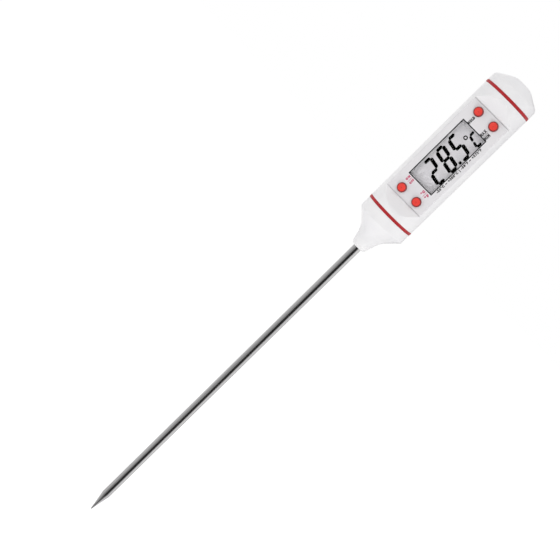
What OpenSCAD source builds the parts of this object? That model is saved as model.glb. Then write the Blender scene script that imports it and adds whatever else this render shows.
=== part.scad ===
// Pen-style digital probe thermometer: a pointed steel stem in a round handle that has a sunken
// front panel, a liquid crystal display, four keys and a screw-on battery cap.
// The stem leaves the nose at the origin and points down. The panel faces -Y, the cap is on top.

/* [Stem] */
// Length of the stem outside the nose
stem_len = 161.5; // [100:0.5:200]
// Outside diameter of the stem tube
stem_d = 3.8; // [3.2:0.1:4.4]
// Wall of the stem tube
stem_wall = 0.3; // [0.2:0.05:0.4]
// Length of the conical point
point_len = 9.5; // [8:0.5:20]
// Diameter of the point's blunt end
point_flat = 0.35; // [0.2:0.05:0.6]
// Length of the stem held inside the nose
stem_hold = 12; // [11:0.5:13]
// Depth of the groove rolled into the stem where the nose begins
groove_depth = 0.2; // [0.16:0.02:0.26]
// Length of that groove
groove_len = 1; // [0.6:0.1:2]

/* [Handle] */
// Outside diameter of the handle
handle_d = 22.5; // [21.5:0.25:25]
// Length of the body between the two rings
body_len = 62.6; // [60:0.1:70]
// Axial thickness of each coloured ring
ring_t = 1.3; // [1:0.05:2]
// How far the rings stand out from the handle
ring_proud = 0.08; // [0:0.02:0.3]
// Wall of the nose and the cap where they cover the body's necks
sleeve_wall = 1.15; // [1:0.05:1.5]
// Wall of the body's necks
neck_wall = 1; // [0.9:0.05:1.3]
// How far a neck reaches into the nose or the cap, past the ring
neck_engage = 3.4; // [3:0.1:3.8]

/* [Nose] */
// Length of the nose from its end to the ring
nose_len = 18.1; // [17.5:0.1:22]
// Straight collar at the top of the nose
nose_collar = 4.7; // [4.2:0.1:5.2]
// Slope of the nose's shoulder, in degrees
nose_slope = 45; // [42:1:48]
// Taper of the nose's neck from the axis, in degrees
nose_taper = 16; // [12:1:20]
// Diameter at the foot of the nose's neck
nose_foot_d = 6.5; // [6.4:0.1:7.4]
// Radius between the shoulder and the neck
nose_blend = 11; // [6:0.5:12]
// Rounding of the nose's end
nose_round = 1.3; // [0.8:0.1:1.5]
// Rounding of the nose's shoulder
nose_shoulder = 1; // [0.5:0.1:1.5]

/* [Cap] */
// Height of the cap above the ring
cap_len = 8.1; // [8:0.1:10]
// Height of the cap's straight side
cap_collar = 3.8; // [3.7:0.1:4.5]
// Diameter of the cap's flat end
cap_flat_d = 8; // [7:0.2:11]
// Rounding of the cap's shoulder
cap_shoulder = 2; // [1:0.1:2.2]
// Rounding of the edge of the cap's flat end
cap_end_round = 5.5; // [3:0.5:6]
// Length of the coin slot
slot_len = 7; // [5:0.5:8]
// Width of the coin slot
slot_w = 1.8; // [1.5:0.1:2.4]
// Depth of the coin slot
slot_depth = 1.4; // [1:0.1:1.6]
// Rise of the cap's thread in one turn
thread_pitch = 1.2; // [1.1:0.05:1.5]
// Height of the thread's ridge
thread_h = 0.35; // [0.3:0.01:0.4]
// Width of the ridge at its foot
thread_foot = 0.7; // [0.6:0.05:0.75]
// Width of the ridge at its crest
thread_crest = 0.25; // [0.2:0.05:0.3]

/* [Panel] */
// Length of the flat front panel
panel_len = 48.2; // [47:0.2:50]
// Depth of the panel below the handle's crest
panel_drop = 4.45; // [4:0.05:4.8]
// Length of the slope at each end of the panel
ramp_len = 5.3; // [4.8:0.1:5.8]
// Rounding where a slope meets the handle's crest
ramp_round = 4; // [1:0.25:4.25]
// Thickness of the fascia plate
fascia_t = 0.5; // [0.4:0.05:0.6]
// Shadow gap at each end of the fascia
fascia_gap = 0.3; // [0.1:0.05:0.4]
// Wall of the body behind the fascia
flat_wall = 1.7; // [1.6:0.05:1.9]

/* [Display] */
// Visible length of the window
window_l = 29.1; // [26:0.1:30]
// Visible width of the window
window_w = 12; // [10:0.1:12.4]
// Width of the black frame around the window
frame_w = 0.4; // [0.2:0.05:0.5]
// Reach of the window's lip under the fascia
lens_lip = 0.8; // [0.5:0.05:1]
// Thickness of the window's lip
lens_lip_t = 0.8; // [0.6:0.05:1]
// Thickness of each glass of the display
glass_t = 0.7; // [0.5:0.05:0.8]
// Thickness of the polariser and of the reflector
film_t = 0.2; // [0.1:0.05:0.25]
// Wall of the display holder
holder_wall = 0.6; // [0.5:0.05:0.8]
// Width of each contact strip behind the display
zebra_w = 1.3; // [1:0.1:1.4]

/* [Keys] */
// Diameter of a key's face
key_d = 3.8; // [3.4:0.1:4.2]
// Gap around a key in the fascia
key_gap = 0.15; // [0.1:0.01:0.2]
// How far a key stands out of the fascia
key_proud = 1.2; // [0.8:0.1:1.6]
// Travel of a key
key_travel = 0.5; // [0.3:0.05:0.6]
// Flange that keeps a key behind the fascia, beyond its face
key_flange = 0.7; // [0.5:0.05:0.8]
// Thickness of a key's flange
key_flange_t = 0.6; // [0.5:0.05:0.7]
// Distance between the two rows of keys
key_rows = 41.6; // [40.8:0.1:42.4]
// Distance between the two keys of a row
key_pitch = 8.2; // [7.6:0.1:8.8]
// Side of a switch's square case
switch_w = 4.5; // [4.2:0.1:4.8]
// Height of a switch's case
switch_h = 2.2; // [2:0.05:2.4]
// Diameter of a switch's plunger
plunger_d = 2.4; // [2:0.1:2.8]

/* [Electronics] */
// Distance from the inner flat wall to the circuit board
stack_h = 3.2; // [3.1:0.05:3.6]
// Thickness of the circuit board
board_t = 1; // [0.8:0.1:1.2]
// Wall of the carrier that slides into the body
carrier_wall = 1.2; // [1:0.1:1.6]
// Diameter of a screw boss on the carrier
boss_d = 3.8; // [3.2:0.1:4]
// Diameter of a board screw
screw_d = 1.4; // [1.2:0.1:1.6]
// Diameter of a board screw's head
screw_head_d = 2.9; // [2.4:0.1:3.2]
// Diameter of a sensor lead
lead_d = 0.4; // [0.3:0.05:0.45]
// Diameter of the sensor's glass bead
bead_d = 1.4; // [1:0.1:1.6]
// Diameter of the resin drop over the chip
chip_d = 8; // [6:0.5:9]
// Height of the resin drop
chip_h = 1.3; // [1:0.1:1.6]
// Spacing of the chip parts in a row
chip_step = 3; // [2.6:0.1:3.4]
// Distance of the resistor rows from the middle of the board
resistor_row = 8; // [7:0.5:9]
// Distance of the capacitor row from the middle of the board
capacitor_row = 12; // [11:0.5:13]

/* [Battery] */
// Diameter of the button cell
cell_d = 11.6; // [9.5:0.1:11.8]
// Height of the button cell
cell_h = 5.4; // [4.2:0.1:5.4]
// Height of the leaf spring under the cell
spring_h = 1.2; // [1:0.1:1.4]
// Thickness of the contact strips
strip_t = 0.25; // [0.15:0.05:0.3]
// Width of the contact strips
strip_w = 3; // [2:0.2:4]

/* [Hidden] */
$fn = 64;
// Gap between pieces that are glued or pressed together
fit = 0.05;
// Gap between pieces that slide or turn on each other
slide = 0.15;
// Gap past the end of a neck
end_gap = 0.25;
// Rounding of the edges that meet a ring
edge_round = 0.12;
// Steps in each rounded corner of a profile
arc_steps = 10;
// Overshoot of a cutting tool past the face that it cuts
over = 1;
// Steps in one turn of the thread
thread_steps = 36;
// Depth of the ridge's foot inside its wall
thread_sink = 0.15;
// Plain wall before and after the thread
thread_lead = 0.12;
// Height above the crest where the rounding of a slope ends
ramp_lift = 0.05;

// Radii across the handle
crest = handle_d / 2;
sleeve_r = crest - sleeve_wall;
neck_r = sleeve_r - thread_h - slide;
bore_r = neck_r - neck_wall;
carrier_r = bore_r - slide;

// Heights along the handle
body_z0 = nose_len + ring_t;
body_z1 = body_z0 + body_len;
neck_z0 = body_z0 - ring_t - neck_engage;
neck_z1 = body_z1 + ring_t + neck_engage;
cap_z0 = body_z1 + ring_t;
mid_z = body_z0 + body_len / 2;
panel_z0 = mid_z - panel_len / 2;
panel_z1 = mid_z + panel_len / 2;

// Distances from the axis towards the front, so a place at distance d has y = -d
panel_y = crest - panel_drop;
seat_y = panel_y - fascia_t;
inner_y = seat_y - flat_wall;
board_y = inner_y - stack_h;
board_back_y = board_y - board_t;
film_y = inner_y - fit;
glass_y = film_y - film_t;
rear_glass_y = glass_y - glass_t;
reflector_y = rear_glass_y - glass_t;

// The solid front wall behind the panel reaches up its slopes until the bore is well covered
block_reach = (bore_r + flat_wall - panel_y) * ramp_len / panel_drop;
block_z0 = panel_z0 - block_reach;
block_z1 = panel_z1 + block_reach;

// Display sizes
frame_outer_w = window_w + 2 * frame_w;
frame_outer_l = window_l + 2 * frame_w;
lens_w = frame_outer_w + 2 * lens_lip;
lens_l = frame_outer_l + 2 * lens_lip;
lens_recess = 0.05;
glass_margin = 0.6;
glass_w = window_w + 2 * glass_margin;
glass_l = window_l + 2 * glass_margin;
rear_glass_w = glass_w - 2 * zebra_w - 4 * fit;
holder_w = glass_w + 2 * fit + 2 * holder_wall;
holder_l = glass_l + 2 * fit + 2 * holder_wall;
zebra_x = glass_w / 2 - zebra_w / 2 - fit;

// Key places: x and z of the on-off, unit, hold and max-min keys
key_z0 = mid_z - key_rows / 2;
key_z1 = mid_z + key_rows / 2;
on_off_at = [-key_pitch / 2, key_z0];
unit_at = [key_pitch / 2, key_z0];
hold_at = [-key_pitch / 2, key_z1];
max_min_at = [key_pitch / 2, key_z1];
key_places = [on_off_at, unit_at, hold_at, max_min_at];
key_round = 0.45;
key_crown = 0.15;
flange_r = key_d / 2 + key_flange;
flange_y = seat_y - fit;
well_y = flange_y - key_flange_t - key_travel - fit;
key_foot_r = key_d / 2 - key_gap;
switch_y = board_y + switch_h;
plunger_proud = 0.7;
plunger_y = switch_y + plunger_proud;
plunger_len = 1.2;
dome_t = 0.15;
switch_well_y = plunger_y - plunger_len - key_travel - dome_t - 2 * fit;

// Board, carrier and battery heights
board_inset = 1;
board_z0 = block_z0 + board_inset;
board_z1 = block_z1 - board_inset;
board_w = 2 * sqrt(pow(carrier_r, 2) - pow(board_y, 2)) - 2 * slide;
resistor_w = 0.8;
resistor_l = 1.6;
resistor_h = 0.5;
capacitor_w = 1.25;
capacitor_l = 2;
capacitor_h = 0.9;
screw_len = 5;
screw_head_t = 0.8;
screw_places = [key_z0, key_z1];
cup_floor = 1.2;
// The cup stands on the ledge behind the panel, or higher so that the cell reaches the neck's end
cell_proud = 0.5;
cup_z0 = max(block_z1 + fit, neck_z1 + cell_proud - cell_h - spring_h - cup_floor);
cup_z1 = neck_z1 - end_gap;
cell_r = cell_d / 2;
pocket_r = cell_r + slide;
cell_z0 = cup_z0 + cup_floor + spring_h;
cell_z1 = cell_z0 + cell_h;
carrier_cut_y = 2.5;
strip_y0 = cell_r + fit / 2;
strip_lap = 2;
strip_foot_z = board_z1 - strip_lap;

// Cap: the inside stays clear of the neck's end and of the cell
cap_ceiling_z = neck_z1 + end_gap;
cap_recess_r = pocket_r + 2 * slide;
cap_recess_z = max(cell_z1, cap_ceiling_z) + end_gap;
cap_roof = 0.8;
cap_z1 = max(cap_z0 + cap_len, cap_recess_z + slot_depth + cap_roof);
slot_cutter_r = 9;
thread_z0 = cap_z0 + thread_lead + thread_foot / 2;
thread_z1 = neck_z1 - thread_lead - thread_foot / 2;

// Nose: the stem's collar stands on the floor of the cavity, under the potting
nose_floor_z = 8.5;
nose_floor_r = 4.2;
nose_seat_z = neck_z0 - end_gap;
nose_mouth_r = bore_r - slide;
nose_seat_r = neck_r + fit;
collar_wall = 1.4;
collar_len = 2.5;
potting_cover = 0.6;
potting_z1 = stem_hold + potting_cover;

// Stem: the inside keeps the same wall along the point
stem_r_out = stem_d / 2;
stem_r_in = stem_r_out - stem_wall;
point_z = point_len - stem_len;
inner_point_len = point_len * stem_r_in / stem_r_out;
bead_r = bead_d / 2;
bead_z = point_z + bead_r + fit;
filler_cover = 1.5;
filler_z1 = bead_z + bead_r + filler_cover;
lead_r = lead_d / 2;
lead_half_gap = 0.1;
lead_x = lead_r + lead_half_gap;
lead_sides = 8;
lead_tube_r = stem_r_in - groove_depth - 2 * fit;
lead_tube_wall = 0.2;
lead_tube_proud = 1.2;
lead_tube_z1 = stem_hold + lead_tube_proud;
lead_y = -board_back_y + lead_r + 2 * fit;
pad_x = 1.3;
boss_clear = 0.6;
lead_end_z = key_z0 - boss_d / 2 - boss_clear;
lead_straight = 0.5;
lead_lap = 1;
// Route of the right-hand lead from the bead to its solder joint
lead_route = [
    [lead_x, 0, bead_z + bead_r + fit], [lead_x, 0, lead_tube_z1 + lead_straight],
    [(lead_x + pad_x) / 2, lead_y / 2, (lead_tube_z1 + board_z0) / 2],
    [pad_x, lead_y, board_z0 - lead_lap], [pad_x, lead_y, lead_end_z]
];
solder_wall = 0.35;
solder_r = lead_r + solder_wall;
solder_len = 1.8;

function unit(v) = v / norm(v);
function turn_between(a, b) =
    let (raw = atan2(b.y, b.x) - atan2(a.y, a.x))
    raw > 180 ? raw - 360 : raw < -180 ? raw + 360 : raw;

// Points of the corner at b between a and c, rounded with radius r
function corner(a, b, c, r) =
    r <= 0 ? [b] :
    let (
        u = unit(a - b), v = unit(c - b), half = acos(u * v) / 2,
        centre = b + unit(u + v) * r / sin(half),
        start = b + u * r / tan(half) - centre,
        stop = b + v * r / tan(half) - centre,
        first = atan2(start.y, start.x),
        turn = turn_between(start, stop)
    )
    [
        for (k = [0:arc_steps])
            let (a = first + turn * k / arc_steps)
            centre + r * [cos(a), sin(a)]
    ];

// Closed outline from a list of [x, y, radius]
function rounded(p) =
    let (n = len(p), at = [for (q = p) [q[0], q[1]]])
    [for (i = [0:n - 1]) each corner(at[(i + n - 1) % n], at[i], at[(i + 1) % n], p[i][2])];

// Where two lines cross, each given as a point and a direction
function crossing(p, d, q, e) =
    p + d * ((q - p).x * e.y - (q - p).y * e.x) / (d.x * e.y - d.y * e.x);

// Outline of a strip of thickness t along a path of points, mitred at its bends
function strip_outline(path, t) =
    let (
        n = len(path),
        along = [for (i = [0:n - 2]) unit(path[i + 1] - path[i])],
        side = [for (a = along) [-a.y, a.x]],
        offset = [
            for (i = [0:n - 1])
                let (
                    before = side[max(i - 1, 0)],
                    after = side[min(i, n - 2)],
                    mitre = unit(before + after)
                )
                mitre * t / 2 / (mitre * before)
        ]
    )
    concat([for (i = [0:n - 1]) path[i] + offset[i]], [for (i = [n - 1:-1:0]) path[i] - offset[i]]);

module revolve(points) {
    rotate_extrude() polygon(points);
}

module disc(r, z0, z1) {
    translate([0, 0, z0]) cylinder(r = r, h = z1 - z0);
}

module pipe(r_out, r_in, z0, z1) {
    difference() {
        disc(r_out, z0, z1);
        disc(r_in, z0 - over, z1 + over);
    }
}

// Box centred on x and on the height z, between two distances towards the front
module plate(w, l, front, back, x = 0, z = mid_z) {
    translate([x - w / 2, -front, z - l / 2]) cube([w, front - back, l]);
}

// Round rod along Y between two distances towards the front
module rod(r, front, back, x, z) {
    translate([x, -front, z]) rotate([-90, 0, 0]) cylinder(r = r, h = front - back);
}

// Outline in the plane of Y and Z, extruded across the handle
module across(points, w) {
    translate([-w / 2, 0, 0]) rotate([90, 0, 90]) linear_extrude(w) polygon(points);
}

// Thin wire of flat sides along a route that runs mostly upwards
module wire(route, r) {
    n = len(route);
    along = [for (i = [0:n - 1]) unit(route[min(i + 1, n - 1)] - route[max(i - 1, 0)])];
    points = [
        for (i = [0:n - 1]) for (k = [0:lead_sides - 1])
            let (
                a = 360 * k / lead_sides,
                right = unit(cross([0, 1, 0], along[i])),
                back = cross(along[i], right)
            )
            route[i] + r * (cos(a) * right + sin(a) * back)
    ];
    walls = [
        for (i = [0:n - 2]) for (k = [0:lead_sides - 1])
            let (here = i * lead_sides + k, next = i * lead_sides + (k + 1) % lead_sides)
            [here, here + lead_sides, next + lead_sides, next]
    ];
    first = [for (k = [0:lead_sides - 1]) k];
    last = [for (k = [lead_sides - 1:-1:0]) (n - 1) * lead_sides + k];
    polyhedron(points, concat(walls, [first, last]));
}

// Screw ridge on a round wall, with a foot sunk in the wall and a crest on the other side of it
module screw_ridge(r_wall, r_crest) {
    outward = sign(r_crest - r_wall);
    r_foot = r_wall - outward * thread_sink;
    turns = (thread_z1 - thread_z0) / thread_pitch;
    n = ceil(turns * thread_steps);
    section = [
        [r_foot, -outward * thread_foot / 2], [r_crest, -outward * thread_crest / 2],
        [r_crest, outward * thread_crest / 2], [r_foot, outward * thread_foot / 2]
    ];
    points = [
        for (i = [0:n]) for (p = section)
            let (a = 360 * turns * i / n, z = thread_z0 + (thread_z1 - thread_z0) * i / n)
            [p.x * cos(a), p.x * sin(a), z + p.y]
    ];
    walls = [
        for (i = [0:n - 1]) for (k = [0:3])
            let (here = 4 * i + k, next = 4 * i + (k + 1) % 4)
            [here, next, next + 4, here + 4]
    ];
    first = [3, 2, 1, 0];
    last = [for (k = [0:3]) 4 * n + k];
    polyhedron(points, concat(walls, [first, last]));
}

module stem_tube() {
    color("silver") revolve([
        [0, -stem_len], [point_flat / 2, -stem_len], [stem_r_out, point_z], [stem_r_out, 0],
        [stem_r_out - groove_depth, 0],
        [stem_r_out - groove_depth, groove_len], [stem_r_out, groove_len], [stem_r_out, stem_hold],
        [stem_r_in, stem_hold], [stem_r_in, groove_len], [stem_r_in - groove_depth, groove_len],
        [stem_r_in - groove_depth, 0], [stem_r_in, 0], [stem_r_in, point_z],
        [0, point_z - inner_point_len]
    ]);
}

module tip_filler() {
    color("lightgrey") difference() {
        revolve([
            [0, point_z - inner_point_len + over], [stem_r_in - 2 * fit, point_z],
            [stem_r_in - 2 * fit, filler_z1], [0, filler_z1]
        ]);
        translate([0, 0, bead_z]) sphere(r = bead_r + fit);
        for (side = [-1, 1])
            translate([side * lead_x, 0, bead_z])
                cylinder(r = lead_r + fit, h = filler_z1 - bead_z + over);
    }
}

module sensor_bead() {
    color("orange") translate([0, 0, bead_z]) sphere(r = bead_r);
}

module sensor_leads() {
    color("firebrick") for (side = [0, 1]) mirror([side, 0, 0]) wire(lead_route, lead_r);
}

module lead_tube() {
    color("ivory") pipe(lead_tube_r, lead_tube_r - lead_tube_wall, filler_z1 + fit, lead_tube_z1);
}

module solder_joints() {
    color("silver") for (side = [-1, 1]) difference() {
        translate([side * pad_x, lead_y, lead_end_z - solder_len]) cylinder(r = solder_r, h = solder_len);
        plate(4 * solder_r, 4 * solder_len, inner_y, board_back_y, side * pad_x, lead_end_z);
        translate([side * pad_x, lead_y, lead_end_z - 2 * solder_len])
            cylinder(r = lead_r + fit, h = 4 * solder_len);
    }
}

module stem_collar() {
    color("darkgoldenrod")
        pipe(stem_r_out + collar_wall, stem_r_out + fit, nose_floor_z, nose_floor_z + collar_len);
}

// Radius of the nose's cavity at a height, between its floor and its mouth
function cavity_r(z) =
    nose_floor_r + (nose_mouth_r - nose_floor_r) * (z - nose_floor_z) / (nose_seat_z - nose_floor_z);

module potting() {
    collar_r = stem_r_out + collar_wall + fit;
    collar_z1 = nose_floor_z + collar_len + fit;
    stem_z1 = stem_hold + fit;
    color("darkslategray") revolve([
        [collar_r, nose_floor_z], [cavity_r(nose_floor_z) - fit, nose_floor_z],
        [cavity_r(potting_z1) - fit, potting_z1], [lead_tube_r + fit, potting_z1],
        [lead_tube_r + fit, stem_z1], [stem_r_out + fit, stem_z1], [stem_r_out + fit, collar_z1],
        [collar_r, collar_z1]
    ]);
}

module nose_cone() {
    shoulder_z = nose_len - nose_collar;
    foot_r = nose_foot_d / 2;
    waist = crossing(
        [crest, shoulder_z], [-cos(nose_slope), -sin(nose_slope)],
        [foot_r, 0], [sin(nose_taper), cos(nose_taper)]
    );
    bore = stem_r_out + fit;
    color("white") revolve(rounded([
        [bore, 0, 0], [foot_r, 0, nose_round], [waist.x, waist.y, nose_blend],
        [crest, shoulder_z, nose_shoulder], [crest, nose_len, edge_round],
        [nose_seat_r, nose_len, 0], [nose_seat_r, nose_seat_z, 0], [nose_mouth_r, nose_seat_z, 0],
        [nose_floor_r, nose_floor_z, 0], [bore, nose_floor_z, 0]
    ]));
}

module ring(r_in, z0) {
    bulge = 0.3;
    revolve(rounded([
        [r_in, z0, 0], [crest + ring_proud, z0, bulge],
        [crest + ring_proud, z0 + ring_t, bulge], [r_in, z0 + ring_t, 0]
    ]));
}

module front_ring() {
    color("firebrick") ring(neck_r + fit, nose_len);
}

// This ring comes off with the cap, so it passes over the thread
module rear_ring() {
    color("firebrick") ring(sleeve_r, body_z1);
}

// Everything in front of the panel: the flat, the seat of the fascia and the two slopes
module panel_cut() {
    top = crest + ramp_lift;
    reach = ramp_len * (top - panel_y) / panel_drop;
    far = reach + ramp_round;
    across(rounded([
        [-top - over, panel_z0 - far, 0], [-top, panel_z0 - far, 0], [-top, panel_z0 - reach, ramp_round],
        [-panel_y, panel_z0, 0], [-seat_y, panel_z0, 0], [-seat_y, panel_z1, 0], [-panel_y, panel_z1, 0],
        [-top, panel_z1 + reach, ramp_round], [-top, panel_z1 + far, 0], [-top - over, panel_z1 + far, 0]
    ]), handle_d + 2 * over);
}

module body_tube() {
    color("white") difference() {
        union() {
            disc(crest, body_z0, body_z1);
            disc(neck_r, neck_z0, neck_z1);
            screw_ridge(neck_r, neck_r + thread_h);
        }
        panel_cut();
        difference() {
            disc(bore_r, neck_z0 - over, neck_z1 + over);
            plate(handle_d, block_z1 - block_z0, crest, inner_y);
        }
        plate(lens_w + 2 * fit, lens_l + 2 * fit, seat_y + over, seat_y - lens_lip_t);
        plate(frame_outer_w, frame_outer_l, seat_y, inner_y - over);
        for (at = key_places) {
            rod(flange_r + slide, seat_y + over, well_y, at[0], at[1]);
            rod(key_foot_r + slide, seat_y, inner_y - over, at[0], at[1]);
        }
    }
}

// The cap's ridge starts half a turn round from the neck's, so that the two lie between each other
module battery_cap() {
    color("white") difference() {
        union() {
            revolve(rounded([
                [0, cap_recess_z, 0], [cap_recess_r, cap_recess_z, 0],
                [cap_recess_r, cap_ceiling_z, 0], [sleeve_r, cap_ceiling_z, 0], [sleeve_r, cap_z0, 0],
                [crest, cap_z0, edge_round], [crest, cap_z0 + cap_collar, cap_shoulder],
                [cap_flat_d / 2, cap_z1, cap_end_round], [0, cap_z1, 0]
            ]));
            rotate([0, 0, 180]) screw_ridge(sleeve_r, sleeve_r - thread_h);
        }
        intersection() {
            translate([0, slot_w / 2, cap_z1 - slot_depth + slot_cutter_r]) rotate([90, 0, 0])
                cylinder(r = slot_cutter_r, h = slot_w);
            translate([-slot_len / 2, -slot_w, cap_z1 - 2 * slot_depth])
                cube([slot_len, 2 * slot_w, 4 * slot_depth]);
        }
    }
}

module fascia() {
    color("whitesmoke") difference() {
        intersection() {
            disc(crest, panel_z0, panel_z1);
            plate(handle_d, panel_len - 2 * fascia_gap, panel_y, seat_y);
        }
        plate(frame_outer_w, frame_outer_l, panel_y + over, seat_y - over);
        for (at = key_places)
            rod(key_d / 2 + key_gap, panel_y + over, seat_y - over, at[0], at[1]);
    }
}

module display_frame() {
    color("black") difference() {
        plate(frame_outer_w, frame_outer_l, panel_y, seat_y);
        plate(window_w, window_l, panel_y + over, seat_y - over);
    }
}

module display_window() {
    color("gainsboro", 0.4) union() {
        plate(window_w, window_l, panel_y - lens_recess, seat_y);
        plate(lens_w, lens_l, seat_y, seat_y - lens_lip_t);
        plate(window_w, window_l, seat_y - lens_lip_t, inner_y);
    }
}

module lcd_polariser() {
    color("darkgray") plate(glass_w - glass_margin, glass_l - glass_margin, film_y, glass_y);
}

module lcd_front_glass() {
    color("lightgray") plate(glass_w, glass_l, glass_y, rear_glass_y);
}

module lcd_rear_glass() {
    color("lightgray") plate(rear_glass_w, glass_l, rear_glass_y, reflector_y);
}

module lcd_reflector() {
    reflector_back_y = reflector_y - film_t;
    color("silver")
        plate(rear_glass_w - glass_margin, glass_l - glass_margin, reflector_y, reflector_back_y);
}

module lcd_holder() {
    color("dimgray") difference() {
        intersection() {
            plate(holder_w, holder_l, film_y, board_y);
            disc(carrier_r, board_z0, board_z1);
        }
        plate(glass_w + 2 * fit, glass_l + 2 * fit, film_y + over, board_y - over);
    }
}

module zebra_strips() {
    color("hotpink") for (side = [-1, 1])
        plate(zebra_w, glass_l - 2 * glass_margin, rear_glass_y, board_y, side * zebra_x);
}

module circuit_board() {
    color("seagreen") difference() {
        plate(board_w, board_z1 - board_z0, board_y, board_back_y, 0, (board_z0 + board_z1) / 2);
        for (z = screw_places) rod(screw_d / 2 + slide, board_y + over, board_back_y - over, 0, z);
    }
}

// Domed drop of black resin over the bare chip on the back of the board
module chip_cover() {
    chip_r = chip_d / 2;
    ball_r = (chip_r * chip_r + chip_h * chip_h) / (2 * chip_h);
    color("black") translate([0, -board_back_y, mid_z]) rotate([-90, 0, 0]) intersection() {
        translate([0, 0, chip_h - ball_r]) sphere(r = ball_r);
        cylinder(r = chip_r + over, h = 2 * chip_h);
    }
}

// Chip parts on the back of the board, in a centred row at a distance from its middle
module chip_row(count, step, from_mid, w, l, h) {
    for (i = [0:count - 1])
        plate(w, l, board_back_y, board_back_y - h, (i - (count - 1) / 2) * step, mid_z + from_mid);
}

module chip_resistors() {
    color("black") for (side = [-1, 1])
        chip_row(4, chip_step, side * resistor_row, resistor_w, resistor_l, resistor_h);
}

module chip_capacitors() {
    color("burlywood") {
        chip_row(3, chip_step, capacitor_row, capacitor_w, capacitor_l, capacitor_h);
        chip_row(2, chip_d + 2 * capacitor_l, 0, capacitor_w, capacitor_l, capacitor_h);
    }
}

module switch_cases() {
    color("dimgray") for (at = key_places) difference() {
        plate(switch_w, switch_w, switch_y, board_y, at[0], at[1]);
        rod(plunger_d / 2 + slide / 2, switch_y + over, switch_well_y, at[0], at[1]);
    }
}

module switch_domes() {
    color("silver") for (at = key_places)
        rod(plunger_d / 2, switch_well_y + dome_t, switch_well_y, at[0], at[1]);
}

// Key with a crowned face, a flange behind the fascia and a foot on its switch
module key(at) {
    r = key_d / 2;
    front = panel_y + key_proud;
    color("orangered") translate([at[0], 0, at[1]]) rotate([90, 0, 0]) revolve(rounded([
        [0, plunger_y, 0], [key_foot_r, plunger_y, 0], [key_foot_r, flange_y - key_flange_t, 0],
        [flange_r, flange_y - key_flange_t, 0], [flange_r, flange_y, 0], [r, flange_y, 0],
        [r, front - key_crown, key_round], [0, front, 0]
    ]));
}

module plunger(at) {
    color("black") rod(plunger_d / 2, plunger_y, plunger_y - plunger_len, at[0], at[1]);
}

module on_off_button() { key(on_off_at); }
module unit_button() { key(unit_at); }
module hold_button() { key(hold_at); }
module max_min_button() { key(max_min_at); }
module on_off_plunger() { plunger(on_off_at); }
module unit_plunger() { plunger(unit_at); }
module hold_plunger() { plunger(hold_at); }
module max_min_plunger() { plunger(max_min_at); }

module board_screws() {
    color("silver") for (z = screw_places) {
        rod(screw_head_d / 2, board_y + screw_head_t, board_y, 0, z);
        rod(screw_d / 2, board_y, board_y - screw_len, 0, z);
    }
}

// Rear trough with two screw bosses under the board and a cup for the cell on top
module carrier() {
    color("lightgrey") difference() {
        union() {
            intersection() {
                pipe(carrier_r, carrier_r - carrier_wall, board_z0, cup_z0 + cup_floor);
                translate([-crest, carrier_cut_y, 0]) cube([handle_d, crest, neck_z1]);
            }
            intersection() {
                for (z = screw_places) rod(boss_d / 2, board_back_y, -crest, 0, z);
                disc(carrier_r, board_z0, board_z1);
            }
            disc(carrier_r, cup_z0, cup_z1);
        }
        disc(pocket_r, cup_z0 + cup_floor, cup_z1 + over);
        for (z = screw_places)
            rod(screw_d / 2 + fit, board_back_y + over, board_y - screw_len - slide, 0, z);
        translate([-strip_w / 2 - slide, 0, strip_foot_z])
            cube([strip_w + 2 * slide, strip_y0 + strip_t + slide, cup_z1]);
        plate(strip_w + 2 * slide, 4 * cup_floor, board_y + 2 * slide + strip_t, board_y, 0, cup_z0);
    }
}

// Leaf spring under the cell: a tail down to the board, a flat base and an arm up to the cell
module cell_spring() {
    base_z = cup_z0 + cup_floor + strip_t / 2;
    tail_y = board_y + slide + strip_t / 2;
    fold_inset = 1.5;
    fold_y = pocket_r - fold_inset;
    top_z = cell_z0 - strip_t / 2 - fit;
    crest_y = 1;
    curl = 1.5;
    color("gold") across(strip_outline([
        [-tail_y, board_z1 - strip_w], [-tail_y, base_z], [-fold_y, base_z],
        [-fold_y, base_z + 2 * strip_t], [crest_y - strip_t, top_z], [crest_y + strip_t, top_z],
        [crest_y + curl, top_z - curl * strip_t]
    ], strip_t), strip_w);
}

// Side contact of the cell: an upright beside the cell and a foot to the back of the board
module cell_strip() {
    color("gold") across([
        [-board_back_y, strip_foot_z], [strip_y0 + strip_t, strip_foot_z],
        [strip_y0 + strip_t, cup_z1], [strip_y0, cup_z1], [strip_y0, strip_foot_z + strip_t],
        [-board_back_y, strip_foot_z + strip_t]
    ], strip_w);
}

module button_cell() {
    lid_step = 1.2;
    lid_r = cell_r - lid_step;
    lid_h = 0.6;
    lid_round = 0.25;
    can_round = 0.35;
    color("gainsboro") revolve(rounded([
        [0, cell_z0, 0], [lid_r, cell_z0, lid_round], [lid_r, cell_z0 + lid_h, 0],
        [cell_r, cell_z0 + lid_h, can_round], [cell_r, cell_z1, can_round], [0, cell_z1, 0]
    ]));
}

stem_tube();
tip_filler();
sensor_bead();
sensor_leads();
lead_tube();
solder_joints();
stem_collar();
potting();
nose_cone();
front_ring();
body_tube();
rear_ring();
battery_cap();
fascia();
display_frame();
display_window();
lcd_polariser();
lcd_front_glass();
lcd_rear_glass();
lcd_reflector();
lcd_holder();
zebra_strips();
circuit_board();
chip_cover();
chip_resistors();
chip_capacitors();
switch_cases();
switch_domes();
on_off_button();
unit_button();
hold_button();
max_min_button();
on_off_plunger();
unit_plunger();
hold_plunger();
max_min_plunger();
board_screws();
carrier();
cell_spring();
cell_strip();
button_cell();
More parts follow.
